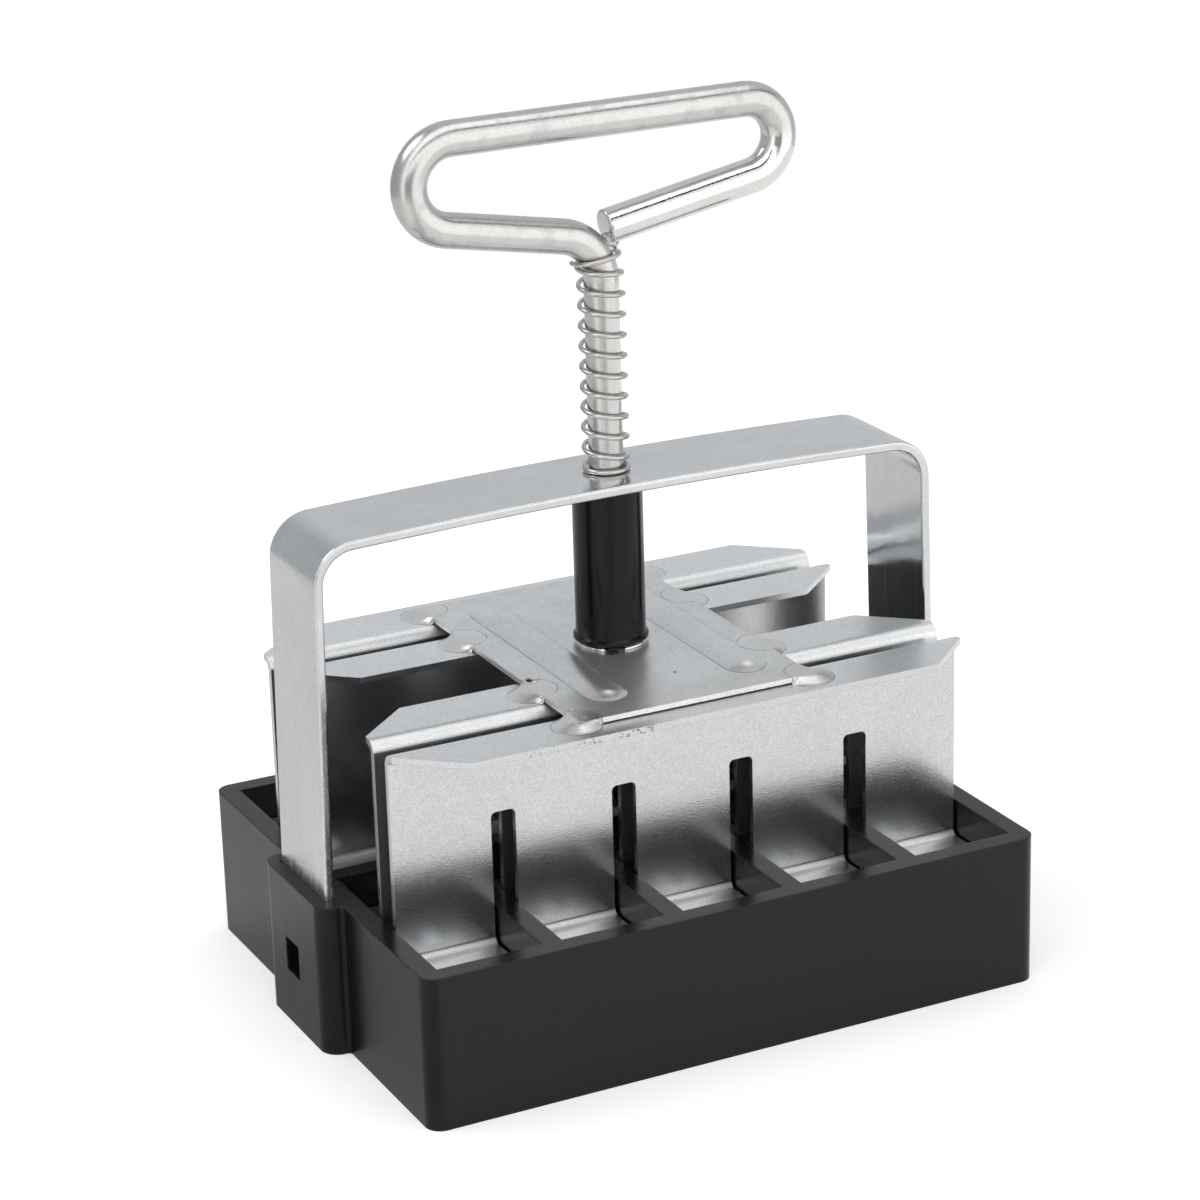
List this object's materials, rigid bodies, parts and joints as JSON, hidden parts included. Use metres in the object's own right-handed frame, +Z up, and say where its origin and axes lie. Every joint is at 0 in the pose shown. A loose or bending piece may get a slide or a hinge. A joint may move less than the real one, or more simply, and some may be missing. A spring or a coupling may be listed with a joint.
{
  "type": "soil blocker",
  "caption": "Hand press that moulds small square soil blocks: black cell box, slotted bent-sheet ejectors, arched strap, return spring and wire-loop handle.",
  "frame": {"origin": "centre of the cell box's open underside, on the axis of the press rod", "axes": "+X along the long side of the box towards the loop's tight end, +Y to the back, +Z up along the rod"},
  "size_m": [0.1318, 0.0992, 0.1641],
  "materials": {
    "cell_box": "satin moulded, black",
    "zinc_strap": "zinc plated, scratched lengthwise",
    "zinc_sheet": "zinc coated sheet, satin",
    "zinc_bar": "zinc plated, satin",
    "spring_wire": "drawn stainless wire",
    "sleeve": "glossy black",
    "weld_metal": "uneven weld bead"
  },
  "bodies": {
    "frame": {"mould": "cell_box", "strap": "zinc_strap", "spring": "spring_wire"},
    "press": {"press_handle": "zinc_bar", "handle_weld": "weld_metal", "stop_sleeve": "sleeve", "rod_weld": "weld_metal", "carrier_plate": "zinc_sheet", "ejector_1": "zinc_sheet", "ejector_2": "zinc_sheet", "ejector_3": "zinc_sheet", "ejector_4": "zinc_sheet", "spot_welds_1": "weld_metal", "spot_welds_2": "weld_metal", "spot_welds_3": "weld_metal", "spot_welds_4": "weld_metal"}
  },
  "joints": [
    {"name": "press_stroke", "type": "slide", "parent": "frame", "child": "press", "axis": [0, 0, -1], "range_m": [0, 0.0178], "stiffness_N_per_m": 1400, "springref_m": -0.005, "deforming": ["spring"]}
  ]
}
